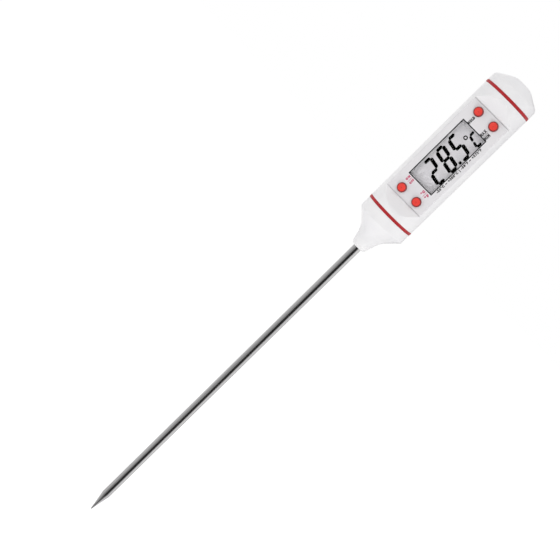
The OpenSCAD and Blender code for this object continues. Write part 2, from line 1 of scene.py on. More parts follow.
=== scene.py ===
"""Looks of a pen-style digital probe thermometer: finishes, display, legends and studio.

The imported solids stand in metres, with the stem's root at the origin, +Z up to the battery cap and the
front panel facing -Y. Sizes in this file are in millimetres, and MM turns them into metres.
"""
import logging
import math
from dataclasses import dataclass
from enum import Enum
from typing import Any

import bmesh
import bpy
from mathutils import Matrix, Vector


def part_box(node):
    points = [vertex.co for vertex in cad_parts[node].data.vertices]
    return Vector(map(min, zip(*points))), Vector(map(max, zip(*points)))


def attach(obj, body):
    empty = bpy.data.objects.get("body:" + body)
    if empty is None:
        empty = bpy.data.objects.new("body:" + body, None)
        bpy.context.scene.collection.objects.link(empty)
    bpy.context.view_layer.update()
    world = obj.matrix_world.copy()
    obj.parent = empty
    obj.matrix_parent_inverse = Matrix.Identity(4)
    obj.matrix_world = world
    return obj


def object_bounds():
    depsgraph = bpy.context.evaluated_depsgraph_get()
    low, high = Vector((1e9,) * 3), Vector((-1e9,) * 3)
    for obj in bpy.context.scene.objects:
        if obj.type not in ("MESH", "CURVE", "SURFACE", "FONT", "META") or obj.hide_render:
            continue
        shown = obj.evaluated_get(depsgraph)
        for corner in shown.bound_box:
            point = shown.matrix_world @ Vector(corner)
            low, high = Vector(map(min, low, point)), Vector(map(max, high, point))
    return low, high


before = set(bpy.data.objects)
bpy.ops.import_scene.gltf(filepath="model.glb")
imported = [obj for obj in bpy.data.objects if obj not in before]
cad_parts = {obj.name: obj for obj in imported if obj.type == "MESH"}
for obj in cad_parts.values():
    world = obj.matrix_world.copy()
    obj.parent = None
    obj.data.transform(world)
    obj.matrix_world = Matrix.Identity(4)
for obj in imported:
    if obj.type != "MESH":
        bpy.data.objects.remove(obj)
CAD_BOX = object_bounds()

MM = 0.001
log = logging.getLogger("thermometer")

Outline = list[tuple[float, float]]


def linear(hex_colour: str) -> tuple[float, float, float, float]:
    """Turn an sRGB hex colour into linear light.

    Args:
        hex_colour: Six hex digits after a hash sign.

    Returns:
        Linear red, green and blue, and an alpha of 1.
    """
    channels = [int(hex_colour[i:i + 2], 16) / 255 for i in (1, 3, 5)]
    red, green, blue = [c / 12.92 if c <= 0.04045 else ((c + 0.055) / 1.055) ** 2.4 for c in channels]
    return red, green, blue, 1.0


def add_node(
    tree: bpy.types.NodeTree,
    kind: str,
    settings: dict[str, Any] | None = None,
    links: dict[str | int, bpy.types.NodeSocket] | None = None,
) -> bpy.types.Node:
    """Add one node to a tree.

    Args:
        tree: The node tree of a material or of the world.
        kind: Blender's name for the node's type.
        settings: Values of input sockets or of the node's own options, by name.
        links: Output sockets to join to the node's inputs, by the input's name or its number.

    Returns:
        The new node.
    """
    node = tree.nodes.new(kind)
    for name, value in (settings or {}).items():
        if name in node.inputs:
            node.inputs[name].default_value = value
        else:
            setattr(node, name, value)
    for name, source in (links or {}).items():
        tree.links.new(source, node.inputs[name])
    return node


def blank_material(name: str) -> bpy.types.Material:
    """Make a material with an empty node tree.

    Args:
        name: Its name.

    Returns:
        The new material.
    """
    made = bpy.data.materials.new(name)
    made.use_nodes = True
    made.node_tree.nodes.clear()
    return made


def add_object(name: str, data: bpy.types.ID) -> bpy.types.Object:
    """Add an object to the scene.

    Args:
        name: Its name.
        data: Its mesh, curve, light or camera.

    Returns:
        The new object.
    """
    made = bpy.data.objects.new(name, data)
    bpy.context.scene.collection.objects.link(made)
    return made


# Octaves of the noise that makes the fine relief, and of the noise that makes the patches of colour.
GRAIN_DETAIL = 3.0
PATCH_DETAIL = 2.0
# The stretch of the noise's range over which roughness and colour change.
GRAIN_SPAN = (0.3, 0.7)
PATCH_SPAN = (0.36, 0.62)


@dataclass(frozen=True)
class Finish:
    """A surface: what it is made of, how it was made, and the pattern that this leaves.

    Attributes:
        name: Material and process in plain words.
        colour: Main colour.
        shade: Colour of the darker patches.
        roughness: Roughness in the hollows and on the crests of the grain.
        tone: Size of the patches of colour.
        grain: Size of the fine relief.
        relief: Height of the fine relief.
        stretch: How far the pattern is drawn out along each axis, 1 for even grain.
        sockets: Values that are the same all over the surface, by the shader's own names.
    """

    name: str
    colour: str
    shade: str
    roughness: tuple[float, float]
    tone: float
    grain: float
    relief: float
    stretch: tuple[float, float, float] = (1.0, 1.0, 1.0)
    sockets: tuple[tuple[str, float], ...] = ()

    def material(self) -> bpy.types.Material:
        """Make the material, or find it if it is made already.

        Returns:
            The procedural material.
        """
        found = bpy.data.materials.get(self.name)
        if found is not None:
            return found
        made = blank_material(self.name)
        tree = made.node_tree
        place = add_node(tree, "ShaderNodeTexCoord")
        drawn = add_node(
            tree, "ShaderNodeMapping",
            {"Scale": [1 / s for s in self.stretch]},
            {"Vector": place.outputs["Object"]},
        )
        grain = add_node(
            tree, "ShaderNodeTexNoise",
            {"Scale": 1 / (self.grain * MM), "Detail": GRAIN_DETAIL},
            {"Vector": drawn.outputs["Vector"]},
        )
        rough = add_node(
            tree, "ShaderNodeMapRange",
            {
                "From Min": GRAIN_SPAN[0], "From Max": GRAIN_SPAN[1],
                "To Min": self.roughness[0], "To Max": self.roughness[1],
            },
            {"Value": grain.outputs["Fac"]},
        )
        bump = add_node(
            tree, "ShaderNodeBump",
            {"Distance": self.relief * MM},
            {"Height": grain.outputs["Fac"]},
        )
        shader = add_node(
            tree, "ShaderNodeBsdfPrincipled",
            dict(self.sockets),
            {
                "Base Color": self.tint(tree, drawn.outputs["Vector"]),
                "Roughness": rough.outputs["Result"],
                "Normal": bump.outputs["Normal"],
            },
        )
        add_node(tree, "ShaderNodeOutputMaterial", links={"Surface": shader.outputs["BSDF"]})
        return made

    def tint(self, tree: bpy.types.NodeTree, place: bpy.types.NodeSocket) -> bpy.types.NodeSocket:
        """Colour the surface in soft patches.

        Args:
            tree: The material's node tree.
            place: Where on the surface, with the pattern's stretch.

        Returns:
            The colour.
        """
        patches = add_node(
            tree, "ShaderNodeTexNoise",
            {"Scale": 1 / (self.tone * MM), "Detail": PATCH_DETAIL},
            {"Vector": place},
        )
        colours = add_node(tree, "ShaderNodeValToRGB", links={"Fac": patches.outputs["Fac"]})
        low, high = colours.color_ramp.elements
        low.position, high.position = PATCH_SPAN
        low.color, high.color = linear(self.shade), linear(self.colour)
        return colours.outputs["Color"]


# Numbers of the Mix node's sockets for colours, whose names it uses more than once.
MIX_SHARE, MIX_FIRST, MIX_SECOND, MIX_RESULT = 0, 6, 7, 2


@dataclass(frozen=True, kw_only=True)
class SideShadeFinish(Finish):
    """A finish with painted shade on its sides: faces that turn away from the front take a darker colour.

    Attributes:
        painted_side_shade: Colour of the painted shade on the sides.
        turn: How far a face looks to the front where the side ends and where the front begins.
    """

    painted_side_shade: str
    turn: tuple[float, float]

    def tint(self, tree: bpy.types.NodeTree, place: bpy.types.NodeSocket) -> bpy.types.NodeSocket:
        """Colour the front in soft patches and paint shade on the sides.

        Args:
            tree: The material's node tree.
            place: Where on the surface, with the pattern's stretch.

        Returns:
            The colour.
        """
        # Painted shade: faces whose normal turns away from the front, -Y, take the darker side colour.
        shape = add_node(tree, "ShaderNodeNewGeometry")
        facing = add_node(
            tree, "ShaderNodeSeparateXYZ",
            links={"Vector": shape.outputs["Normal"]},
        )
        share = add_node(
            tree, "ShaderNodeMapRange",
            {"From Min": -self.turn[0], "From Max": -self.turn[1], "interpolation_type": "SMOOTHSTEP"},
            {"Value": facing.outputs["Y"]},
        )
        mix = add_node(
            tree, "ShaderNodeMix", {"data_type": "RGBA"},
            {MIX_SHARE: share.outputs["Result"], MIX_SECOND: super().tint(tree, place)},
        )
        mix.inputs[MIX_FIRST].default_value = linear(self.painted_side_shade)
        return mix.outputs[MIX_RESULT]


METAL = (("Metallic", 1.0),)
DRAWN_ALONG_Z = (1.0, 1.0, 60.0)


class Finishes(Enum):
    """Every finish of the thermometer."""

    # Glossy tool-polished ABS: a clean white with a soft sheen and a faint waviness in its highlights.
    MOULDED_ABS = Finish(
        "moulded white ABS", "#EFEEEF", "#EBEAEC", (0.30, 0.38), 9.0, 0.9, 0.004,
        sockets=(("IOR", 1.53),),
    )
    # Screen-printed polycarbonate sheet: a matt, near-neutral white with a fine even tooth.
    PRINTED_SHEET = Finish(
        "matt printed polycarbonate sheet", "#E4E2E4", "#E0DEE1", (0.46, 0.58), 12.0, 0.22, 0.003,
        sockets=(("IOR", 1.58),),
    )
    # Moulded silicone: a deep dull red with a dusty, slightly uneven skin.
    SILICONE_RING = Finish(
        "moulded red silicone", "#B41E26", "#A81B22", (0.48, 0.62), 3.0, 0.3, 0.006,
        sockets=(("IOR", 1.41), ("Sheen Weight", 0.05)),
    )
    # Moulded and polished ABS in warning red: glossy caps with a small sharp highlight.
    # Their sides carry painted shade, a deeper red on faces that turn away from the front.
    KEY_ABS = SideShadeFinish(
        "moulded red ABS", "#F04338", "#E63D33", (0.26, 0.34), 2.0, 0.35, 0.003,
        sockets=(("IOR", 1.53),), painted_side_shade="#912324", turn=(0.94, 0.9995),
    )
    # Drawn and polished stainless steel: long fine streaks along the tube that soften its reflections.
    # The streaks are drawn about 0.2 mm wide, coarser than real ones, so that they show.
    DRAWN_STEEL = Finish(
        "drawn stainless steel", "#C9C8C8", "#B9B8B9", (0.14, 0.26), 1.1, 0.2, 0.0012,
        stretch=DRAWN_ALONG_Z, sockets=METAL,
    )
    # Die-cut foam gasket: a thin dead-black line round the window.
    GASKET_FOAM = Finish(
        "die-cut black foam", "#1B1B1D", "#121214", (0.75, 0.9), 0.8, 0.15, 0.01,
    )
    # Cast acrylic with an anti-glare coat: clear, with hardly any gloss over the display.
    # The coat keeps the figures black, so the IOR is matched well below that of bare acrylic.
    CLEAR_ACRYLIC = Finish(
        "coated clear acrylic", "#FFFFFF", "#FCFCFD", (0.015, 0.03), 10.0, 4.0, 0.0005,
        sockets=(("Transmission Weight", 1.0), ("IOR", 1.12)),
    )
    # Polariser film over a brushed reflector: an even pale grey with a faint silvery grain.
    POLARISER_FILM = Finish(
        "laminated polariser film", "#CDCBCE", "#C9C7CA", (0.42, 0.55), 6.0, 0.3, 0.001,
        sockets=(("IOR", 1.49),),
    )
    # Liquid crystal in its dark state: a plain black without any gloss.
    DARK_CRYSTAL = Finish(
        "dark liquid crystal", "#040404", "#020203", (0.5, 0.6), 1.5, 0.2, 0.0005,
        sockets=(("Specular IOR Level", 0.0),),
    )
    # Screen-printed black ink: a thin opaque film, a little uneven at its edges.
    BLACK_INK = Finish(
        "screen-printed black ink", "#1C1C1F", "#29292D", (0.45, 0.6), 0.5, 0.12, 0.002,
    )
    # Screen-printed red ink: thin enough for the white sheet to lighten it.
    RED_INK = Finish(
        "screen-printed red ink", "#C65574", "#CB6580", (0.45, 0.6), 0.5, 0.12, 0.002,
    )
    # Float glass with ground edges: clear, with a faint green cast.
    DISPLAY_GLASS = Finish(
        "ground float glass", "#F4FAF7", "#EEF6F2", (0.02, 0.04), 5.0, 2.0, 0.0005,
        sockets=(("Transmission Weight", 1.0), ("IOR", 1.52)),
    )
    # Silvered film with a brushed face: a bright soft grey.
    REFLECTOR_FILM = Finish(
        "brushed silver film", "#DADADA", "#C9C9C9", (0.3, 0.45), 1.0, 0.25, 0.001, sockets=METAL,
    )
    # Moulded engineering plastic inside the case: plain grey, with the dull skin of an etched mould.
    ETCHED_ABS = Finish(
        "etched grey ABS", "#B2B2B4", "#A6A6A9", (0.5, 0.65), 4.0, 0.4, 0.008,
        sockets=(("IOR", 1.53),),
    )
    # Layered silicone: pink insulating rubber in fine stripes along the strip.
    LAYERED_SILICONE = Finish(
        "layered contact silicone", "#D98C95", "#8D4A54", (0.5, 0.65), 0.4, 0.3, 0.004,
        stretch=(8.0, 8.0, 1.0), sockets=(("IOR", 1.41),),
    )
    # Solder mask over woven glass cloth: a deep green gloss with the weave faintly under it.
    SOLDER_MASK = Finish(
        "solder mask on glass cloth", "#1D6B40", "#165834", (0.25, 0.4), 0.9, 0.45, 0.01,
        sockets=(("IOR", 1.5),),
    )
    # Cast epoxy drop: black, wet-looking, with a few soft swells.
    CAST_EPOXY = Finish(
        "cast black epoxy", "#19191A", "#101011", (0.12, 0.2), 3.0, 1.2, 0.02,
        sockets=(("IOR", 1.55),),
    )
    # Transfer-moulded epoxy of chip parts and switch cases: dull black with a sandy skin.
    MOULDED_EPOXY = Finish(
        "moulded black epoxy", "#232325", "#1A1A1B", (0.55, 0.7), 1.0, 0.12, 0.004,
    )
    # Fired ceramic: tan, with a fine dry grain.
    FIRED_CERAMIC = Finish(
        "fired tan ceramic", "#B79468", "#A5835A", (0.5, 0.65), 0.7, 0.15, 0.003,
    )
    # Moulded acetal of the switch plungers: waxy black.
    ACETAL = Finish(
        "moulded black acetal", "#202022", "#18181A", (0.35, 0.45), 1.0, 0.2, 0.003,
        sockets=(("IOR", 1.48),),
    )
    # Nickel plate on rolled strip: warm silver with rolling marks.
    ROLLED_NICKEL = Finish(
        "nickel-plated rolled strip", "#CFC9BF", "#BDB7AD", (0.2, 0.34), 0.8, 0.2, 0.002,
        stretch=(1.0, 1.0, 12.0), sockets=METAL,
    )
    # Deep-drawn and plated steel can of the cell: bright with faint draw lines.
    DRAWN_CAN = Finish(
        "deep-drawn nickel-plated steel", "#D6D5D2", "#C8C7C4", (0.16, 0.26), 1.2, 0.25, 0.002,
        stretch=(1.0, 1.0, 8.0), sockets=METAL,
    )
    # Turned brass: yellow metal with fine tool rings.
    TURNED_BRASS = Finish(
        "turned brass", "#D9B65B", "#C7A24A", (0.2, 0.32), 0.8, 0.2, 0.003,
        stretch=(6.0, 6.0, 1.0), sockets=METAL,
    )
    # Fused glass bead of the sensor: clear amber.
    FUSED_GLASS = Finish(
        "fused amber glass", "#D98A3A", "#C9782A", (0.05, 0.1), 0.6, 0.4, 0.002,
        sockets=(("Transmission Weight", 0.6), ("IOR", 1.52)),
    )
    # Enamelled copper wire: dark red lacquer with a soft shine.
    ENAMELLED_WIRE = Finish(
        "enamelled copper wire", "#A33A22", "#8C2F1B", (0.25, 0.35), 0.8, 0.2, 0.002,
    )
    # Braided glass sleeve: off-white, with a coarse matt braid.
    BRAIDED_GLASS = Finish(
        "braided glass sleeve", "#E6E0CF", "#CFC8B4", (0.6, 0.75), 0.6, 0.3, 0.02,
    )
    # Heat-conducting epoxy: pale grey paste with filler grains.
    FILLED_EPOXY = Finish(
        "filled grey epoxy", "#B4B3AC", "#9F9E97", (0.55, 0.7), 0.5, 0.2, 0.008,
    )

    def on(self, target: bpy.types.Object) -> bpy.types.Object:
        """Give this finish to an object, in place of what it had.

        Args:
            target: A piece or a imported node.

        Returns:
            The same object.
        """
        target.data.materials.clear()
        target.data.materials.append(self.value.material())
        return target


def dress_nodes(finishes: dict[Finishes, tuple[str, ...]]) -> None:
    """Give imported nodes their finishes.

    Args:
        finishes: Names of the nodes that take each finish.
    """
    for finish, names in finishes.items():
        for name in names:
            finish.on(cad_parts[name])
            log.info("node %s: %s", name, finish.value.name)


@dataclass(frozen=True)
class Face:
    """A plane that faces the front, with places given along the reading direction and across it.

    Attributes:
        front: Distance from the handle's axis to the plane, in metres.
        middle: Height of the panel's middle, in metres.
    """

    front: float
    middle: float

    @classmethod
    def of(cls, node: str) -> "Face":
        """Find the plane of a node's front face.

        Args:
            node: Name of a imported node.

        Returns:
            The plane through the node's foremost points, at its middle height.
        """
        low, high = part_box(node)
        return cls(-low.y, (low.z + high.z) / 2)

    def at(self, along: float, up: float, lift: float = 0.0) -> Vector:
        """Place a point on the plane.

        Args:
            along: Distance in the reading direction, towards the cap.
            up: Distance upwards across the reading direction.
            lift: Distance in front of the plane.

        Returns:
            The point, in metres.
        """
        return Vector((-up * MM, -self.front - lift * MM, self.middle + along * MM))


def add_piece(name: str, mesh: bpy.types.Mesh, finish: Finishes, body: str) -> bpy.types.Object:
    """Add a piece of the object and let it ride on a body.

    Args:
        name: The piece's name.
        mesh: Its mesh, in metres, in the shared frame.
        finish: Its finish.
        body: The body that carries it.

    Returns:
        The new object.
    """
    piece = finish.on(add_object(name, mesh))
    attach(piece, body)
    log.info("piece %s: %s, on %s", name, finish.value.name, body)
    return piece


def plates(name: str, outlines: list[Outline], face: Face, depth: float) -> bpy.types.Mesh:
    """Make thin flat plates that stand on a plane.

    Args:
        name: Name of the mesh.
        outlines: Closed outlines on the plane, anticlockwise as read.
        face: The plane.
        depth: Thickness of the plates.

    Returns:
        One mesh with a closed plate for each outline.
    """
    work = bmesh.new()
    for outline in outlines:
        back = [work.verts.new(face.at(a, b)) for a, b in outline]
        front = [work.verts.new(face.at(a, b, depth)) for a, b in outline]
        work.faces.new(front)
        work.faces.new(back[::-1])
        count = len(outline)
        for i in range(count):
            j = (i + 1) % count
            work.faces.new((back[i], back[j], front[j], front[i]))
    return finished(name, work)


def finished(name: str, work: bmesh.types.BMesh) -> bpy.types.Mesh:
    """Turn a worked mesh into a mesh block with its faces outwards.

    Args:
        name: Name of the mesh.
        work: The worked mesh, which is freed.

    Returns:
        The mesh block.
    """
    bmesh.ops.recalc_face_normals(work, faces=work.faces)
    mesh = bpy.data.meshes.new(name)
    work.to_mesh(mesh)
    work.free()
    return mesh


CIRCLE_STEPS = 40


def washer(
    name: str, centre: tuple[float, float], radii: tuple[float, float], face: Face, depth: float,
) -> bpy.types.Mesh:
    """Make a flat ring that stands on a plane.

    Args:
        name: Name of the mesh.
        centre: Place of its centre on the plane.
        radii: Inner and outer radius.
        face: The plane.
        depth: Thickness of the ring.

    Returns:
        The ring's mesh.
    """
    work = bmesh.new()
    rows = []
    turns = [2 * math.pi * i / CIRCLE_STEPS for i in range(CIRCLE_STEPS)]
    for radius, lift in ((radii[0], 0.0), (radii[1], 0.0), (radii[1], depth), (radii[0], depth)):
        circle = [(centre[0] + radius * math.cos(t), centre[1] + radius * math.sin(t)) for t in turns]
        rows.append([work.verts.new(face.at(along, up, lift)) for along, up in circle])
    for row, after in zip(rows, rows[1:] + rows[:1]):
        for i in range(CIRCLE_STEPS):
            j = (i + 1) % CIRCLE_STEPS
            work.faces.new((row[i], row[j], after[j], after[i]))
    return finished(name, work)


# Half the type's thickness before it is fitted to the ink's, and the steps of each of its curves.
TYPE_EXTRUDE = 0.5
TYPE_STEPS = 5
# Corners of the type that lie closer than this are one corner, in metres.
WELD = 1e-7
# How much further apart bold letters stand, for each share of boldness, so that they don't run together.
LETTER_SPREAD = 4.0
# Pairs of letters whose feet would still touch, and the extra room between them.
TIGHT_PAIRS = ("AX",)
PAIR_KERN = 11.0


def lettering(
    name: str, words: str, along: tuple[float, float], up: tuple[float, float], face: Face,
    depth: float, weight: float,
) -> bpy.types.Mesh:
    """Make plain lettering that fills a box on a plane.

    Args:
        name: Name of the mesh.
        words: What is printed.
        along: Start and end of the box in the reading direction.
        up: Foot and top of the box.
        face: The plane.
        depth: Thickness of the ink.
        weight: How much bolder than the plain type, as a share of the type's size.

    Returns:
        The lettering's mesh.
    """
    curve = bpy.data.curves.new(name, "FONT")
    curve.body = words
    curve.extrude = TYPE_EXTRUDE
    curve.offset = weight
    curve.space_character = 1 + LETTER_SPREAD * weight
    for pair in TIGHT_PAIRS:
        if pair in words:
            curve.body_format[words.index(pair)].kerning = PAIR_KERN
    curve.resolution_u = TYPE_STEPS
    holder = add_object(name + "_curve", curve)
    bpy.context.view_layer.update()
    depsgraph = bpy.context.evaluated_depsgraph_get()
    mesh = bpy.data.meshes.new_from_object(holder.evaluated_get(depsgraph))
    bpy.data.objects.remove(holder)
    bpy.data.curves.remove(curve)
    corners = [v.co.copy() for v in mesh.vertices]
    low = [min(c[i] for c in corners) for i in range(3)]
    size = [max(c[i] for c in corners) - low[i] for i in range(3)]
    for vertex, corner in zip(mesh.vertices, corners):
        share = [(corner[i] - low[i]) / size[i] for i in range(3)]
        vertex.co = face.at(
            along[0] + share[0] * (along[1] - along[0]),
            up[0] + share[1] * (up[1] - up[0]),
            share[2] * depth,
        )
    mesh.name = name
    work = bmesh.new()
    work.from_mesh(mesh)
    bmesh.ops.remove_doubles(work, verts=work.verts, dist=WELD)
    bpy.data.meshes.remove(mesh)
    return finished(name, work)


class Segment(Enum):
    """The seven bars of a digit, each from one place to another on a grid of -1, 0 and 1."""

    TOP = ((-1, 1), (1, 1))
    UPPER_RIGHT = ((1, 0), (1, 1))
    LOWER_RIGHT = ((1, -1), (1, 0))
    BOTTOM = ((-1, -1), (1, -1))
    LOWER_LEFT = ((-1, -1), (-1, 0))
    UPPER_LEFT = ((-1, 0), (-1, 1))
    MIDDLE = ((-1, 0), (1, 0))


LIT = {
    "2": (Segment.TOP, Segment.UPPER_RIGHT, Segment.MIDDLE, Segment.LOWER_LEFT, Segment.BOTTOM),
    "5": (Segment.TOP, Segment.UPPER_LEFT, Segment.MIDDLE, Segment.LOWER_RIGHT, Segment.BOTTOM),
    "8": tuple(Segment),
    "C": (Segment.TOP, Segment.UPPER_LEFT, Segment.LOWER_LEFT, Segment.BOTTOM),
}


@dataclass(frozen=True)
class Digit:
    """One leaning seven-bar figure of the display.

    Attributes:
        sign: The figure that it shows.
        along: Place of its middle in the reading direction.
        middle: Height of its middle bar.
        half_width: Distance from its middle to the line of its upright bars.
        half_height: Distance between its rows of bars.
        level: Width of a level bar.
        upright: Width of an upright bar.
        lean: Sideways lean for each unit of height.
        gap: Gap between two bars at a corner.
        blunt: Width of a bar's end as a share of the bar's width.
    """

    sign: str
    along: float
    middle: float = -0.28
    half_width: float = 1.72
    half_height: float = 5.0
    level: float = 1.26
    upright: float = 1.5
    lean: float = 0.18
    gap: float = 0.26
    blunt: float = 0.34

    def bar(self, segment: Segment) -> Outline:
        """Draw one bar with its ends cut back to points.

        Args:
            segment: Which bar.

        Returns:
            Its outline on the display.
        """
        start, stop = [
            Vector((x * self.half_width, y * self.half_height)) for x, y in segment.value
        ]
        ahead = (stop - start).normalized()
        side = Vector((-ahead.y, ahead.x))
        half = (self.upright if start.x == stop.x else self.level) / 2
        nose = half * self.blunt
        first, last = start + ahead * self.gap, stop - ahead * self.gap
        inset = ahead * (half - nose)
        corners = [
            first - side * nose, first + inset - side * half,
            last - inset - side * half, last - side * nose,
            last + side * nose, last - inset + side * half,
            first + inset + side * half, first + side * nose,
        ]
        return [(self.along + p.x + self.lean * p.y, self.middle + p.y) for p in corners]

    def outlines(self) -> list[Outline]:
        """Draw every lit bar of the figure."""
        return [self.bar(segment) for segment in LIT[self.sign]]


def box_outline(along: tuple[float, float], up: tuple[float, float]) -> Outline:
    """Draw an upright box.

    Args:
        along: Its start and end in the reading direction.
        up: Its foot and top.

    Returns:
        Its outline, anticlockwise.
    """
    return [(along[0], up[0]), (along[1], up[0]), (along[1], up[1]), (along[0], up[1])]


class SubAssembly:
    """A group of nodes and pieces that is made and dressed together."""

    def build(self) -> None:
        """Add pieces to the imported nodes: none, unless the sub-assembly has print or figures."""

    def dress(self) -> None:
        """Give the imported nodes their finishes."""
        raise NotImplementedError


@dataclass
class Stem(SubAssembly):
    """The pointed steel stem, its sensor and what holds it in the nose."""

    def dress(self) -> None:
        """Give the stem's nodes their finishes."""
        dress_nodes({
            Finishes.DRAWN_STEEL: ("stem_tube",),
            Finishes.FILLED_EPOXY: ("tip_filler",),
            Finishes.FUSED_GLASS: ("sensor_bead",),
            Finishes.ENAMELLED_WIRE: ("sensor_leads",),
            Finishes.BRAIDED_GLASS: ("lead_tube",),
            Finishes.ROLLED_NICKEL: ("solder_joints",),
            Finishes.TURNED_BRASS: ("stem_collar",),
            Finishes.CAST_EPOXY: ("potting",),
        })


@dataclass
class Handle(SubAssembly):
    """The nose, the body, the screw cap and the two coloured rings."""

    def dress(self) -> None:
        """Give the handle's nodes their finishes."""
        dress_nodes({
            Finishes.MOULDED_ABS: ("nose_cone", "body_tube", "battery_cap"),
            Finishes.SILICONE_RING: ("front_ring", "rear_ring"),
        })


@dataclass(frozen=True)
class Legend:
    """Printed words beside a key or the window.

    Attributes:
        name: Name of the piece.
        words: What is printed.
        along: Start and end in the reading direction.
        up: Foot and top.
        ink: Finish of the ink.
        weight: Boldness of the type, as a share of its size.
    """

    name: str
    words: str
    along: tuple[float, float]
    up: tuple[float, float]
    ink: Finishes
    weight: float = 0.14


@dataclass(frozen=True)
class Rule:
    """A printed line between two words.

    Attributes:
        name: Name of the piece.
        along: Start and end in the reading direction.
        height: Height of its middle.
        ink: Finish of the ink.
    """

    name: str
    along: tuple[float, float]
    height: float
    ink: Finishes


@dataclass
class FrontPanel(SubAssembly):
    """The printed fascia with the legends of the keys and the measuring range.

    Attributes:
        ink_depth: Thickness of the ink.
        rule_width: Width of the lines between two words.
        legends: The printed words.
        rules: The lines between two words.
    """

    ink_depth: float = 0.015
    rule_width: float = 0.18
    legends: tuple[Legend, ...] = (
        Legend("legend_on", "ON", (-17.6, -15.3), (4.6, 5.6), Finishes.RED_INK),
        Legend("legend_off", "OFF", (-17.6, -15.3), (2.5, 3.5), Finishes.RED_INK),
        Legend("legend_celsius", "°C", (-17.4, -15.4), (-3.85, -2.6), Finishes.RED_INK),
        Legend("legend_fahrenheit", "°F", (-17.4, -15.4), (-6.0, -4.8), Finishes.RED_INK),
        Legend("legend_hold", "HOLD", (14.9, 18.3), (3.1, 4.3), Finishes.BLACK_INK, 0.12),
        Legend("legend_max", "MAX", (14.9, 17.9), (-3.9, -2.5), Finishes.BLACK_INK, 0.1),
        Legend("legend_min", "MIN", (14.9, 17.6), (-6.0, -4.6), Finishes.BLACK_INK, 0.1),
        Legend("legend_range", "-50°C ~ +300°C | -58°F ~ +572°F", (-12.6, 11.4), (-7.9, -6.5),
               Finishes.BLACK_INK, 0.07),
    )
    rules: tuple[Rule, ...] = (
        Rule("legend_on_off_rule", (-17.6, -15.3), 4.05, Finishes.RED_INK),
        Rule("legend_unit_rule", (-17.5, -15.3), -4.3, Finishes.RED_INK),
        Rule("legend_max_min_rule", (14.9, 17.7), -4.28, Finishes.BLACK_INK),
    )

    def build(self) -> None:
        """Print the legends on the fascia."""
        face = Face.of("fascia")
        for legend in self.legends:
            mesh = lettering(
                legend.name, legend.words, legend.along, legend.up, face, self.ink_depth, legend.weight,
            )
            add_piece(legend.name, mesh, legend.ink, "handle")
        half = self.rule_width / 2
        for rule in self.rules:
            outline = box_outline(rule.along, (rule.height - half, rule.height + half))
            mesh = plates(rule.name, [outline], face, self.ink_depth)
            add_piece(rule.name, mesh, rule.ink, "handle")

    def dress(self) -> None:
        """Give the fascia its finish."""
        dress_nodes({Finishes.PRINTED_SHEET: ("fascia",)})


@dataclass
class Display(SubAssembly):
    """The window, the display's layers and the figures that it shows.

    Attributes:
        crystal_depth: Thickness of the dark figures on the film.
        figures: The leaning figures, with the names of their pieces.
        point_place: Middle of the decimal point.
        point_width: Length of the decimal point's side.
        degree_place: Middle of the degree sign.
        degree_radii: Inner and outer radius of the degree sign.
    """

    crystal_depth: float = 0.02
    figures: tuple[tuple[str, Digit], ...] = (
        ("lcd_tens", Digit("2", -7.34)),
        ("lcd_ones", Digit("8", -0.73)),
        ("lcd_tenths", Digit("5", 5.88)),
        ("lcd_unit", Digit(
            "C", 12.65, middle=-2.67, half_width=1.25, half_height=2.61, level=1.05, upright=1.1,
            lean=0.2, gap=0.2,
        )),
    )
    point_place: tuple[float, float] = (2.0, -5.03)
    point_width: float = 1.12
    degree_place: tuple[float, float] = (10.34, 0.55)
    degree_radii: tuple[float, float] = (0.45, 0.92)

    def build(self) -> None:
        """Draw the figures on the film under the window."""
        face = Face.of("lcd_polariser")
        for name, digit in self.figures:
            self.show(name, plates(name, digit.outlines(), face, self.crystal_depth))
        along, up = self.point_place
        half = self.point_width / 2
        dot = box_outline((along - half, along + half), (up - half, up + half))
        self.show("lcd_point", plates("lcd_point", [dot], face, self.crystal_depth))
        ring = washer("lcd_degree", self.degree_place, self.degree_radii, face, self.crystal_depth)
        self.show("lcd_degree", ring)

    def show(self, name: str, mesh: bpy.types.Mesh) -> None:
        """Add one figure of the display."""
        add_piece(name, mesh, Finishes.DARK_CRYSTAL, "handle")

    def dress(self) -> None:
        """Give the display's nodes their finishes."""
        dress_nodes({
            Finishes.GASKET_FOAM: ("display_frame",),
            Finishes.CLEAR_ACRYLIC: ("display_window",),
            Finishes.POLARISER_FILM: ("lcd_polariser",),
            Finishes.DISPLAY_GLASS: ("lcd_front_glass", "lcd_rear_glass"),
            Finishes.REFLECTOR_FILM: ("lcd_reflector",),
            Finishes.ETCHED_ABS: ("lcd_holder",),
            Finishes.LAYERED_SILICONE: ("zebra_strips",),
        })


@dataclass
class Keys(SubAssembly):
    """The four press keys and the switches behind them.

    Attributes:
        names: Names of the keys.
    """

    names: tuple[str, ...] = ("on_off", "unit", "hold", "max_min")

    def dress(self) -> None:
        """Give the keys and switches their finishes."""
        dress_nodes({
            Finishes.KEY_ABS: tuple(name + "_button" for name in self.names),
            Finishes.ACETAL: tuple(name + "_plunger" for name in self.names),
            Finishes.MOULDED_EPOXY: ("switch_cases",),
            Finishes.ROLLED_NICKEL: ("switch_domes",),
        })


@dataclass
class Electronics(SubAssembly):
    """The circuit board and the parts on it."""

    def dress(self) -> None:
        """Give the board's nodes their finishes."""
        dress_nodes({
            Finishes.SOLDER_MASK: ("circuit_board",),
            Finishes.CAST_EPOXY: ("chip_cover",),
            Finishes.MOULDED_EPOXY: ("chip_resistors",),
            Finishes.FIRED_CERAMIC: ("chip_capacitors",),
            Finishes.ROLLED_NICKEL: ("board_screws",),
        })


